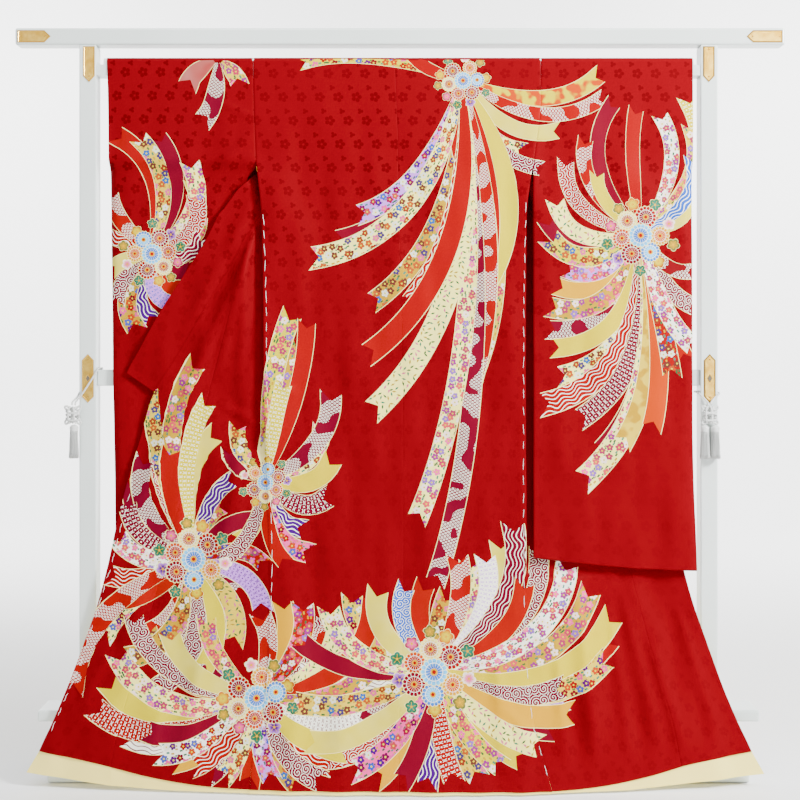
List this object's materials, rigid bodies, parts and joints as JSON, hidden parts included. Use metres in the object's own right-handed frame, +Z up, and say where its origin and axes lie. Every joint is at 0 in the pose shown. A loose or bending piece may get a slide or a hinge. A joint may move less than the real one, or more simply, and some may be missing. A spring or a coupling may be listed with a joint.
{
  "type": "furisode kimono on kimono stand",
  "caption": "Red silk furisode with streamers of flowers and patterns, shown from its back over the rail of a white lacquered kimono stand with gold plates and white tassels.",
  "frame": {"origin": "on the floor, under the middle of the stand, in the plane of its posts", "axes": "+X along the stand to the right of someone facing the side that shows the garment's back, -Y towards that person, +Z up"},
  "size_m": [1.721, 0.4421, 1.6783],
  "materials": {
    "red_silk": "figured silk with a printed and painted design",
    "cream_silk": "plain silk lining",
    "white_lacquer": "white lacquer, satin gloss",
    "gilt_plate": "gilt, engraved",
    "white_cord": "twisted silk cord"
  },
  "bodies": {
    "root": {"back_left": "red_silk", "back_right": "red_silk", "sleeve_left": "red_silk", "sleeve_right": "red_silk", "front_left": "red_silk", "front_right": "red_silk", "okumi_left": "red_silk", "okumi_right": "red_silk", "collar": "red_silk", "hem_lining_back_left": "cream_silk", "hem_lining_back_right": "cream_silk", "hem_lining_front_left": "cream_silk", "hem_lining_front_right": "cream_silk", "hem_lining_okumi_left": "cream_silk", "hem_lining_okumi_right": "cream_silk", "top_bar": "white_lacquer", "rail_upper": "white_lacquer", "rail_middle": "white_lacquer", "base_board": "white_lacquer", "floor_board": "white_lacquer", "post_left": "white_lacquer", "post_right": "white_lacquer", "foot_left": "white_lacquer", "foot_right": "white_lacquer", "plate_top_left": "gilt_plate", "plate_top_right": "gilt_plate", "plate_middle_left": "gilt_plate", "plate_middle_right": "gilt_plate", "plate_bar_left": "gilt_plate", "plate_bar_right": "gilt_plate", "knot_left": "white_cord", "knot_right": "white_cord", "tassel_left": "white_cord", "tassel_right_inner": "white_cord", "tassel_right_outer": "white_cord", "cord_left": "white_cord", "cord_right": "white_cord"}
  },
  "joints": []
}
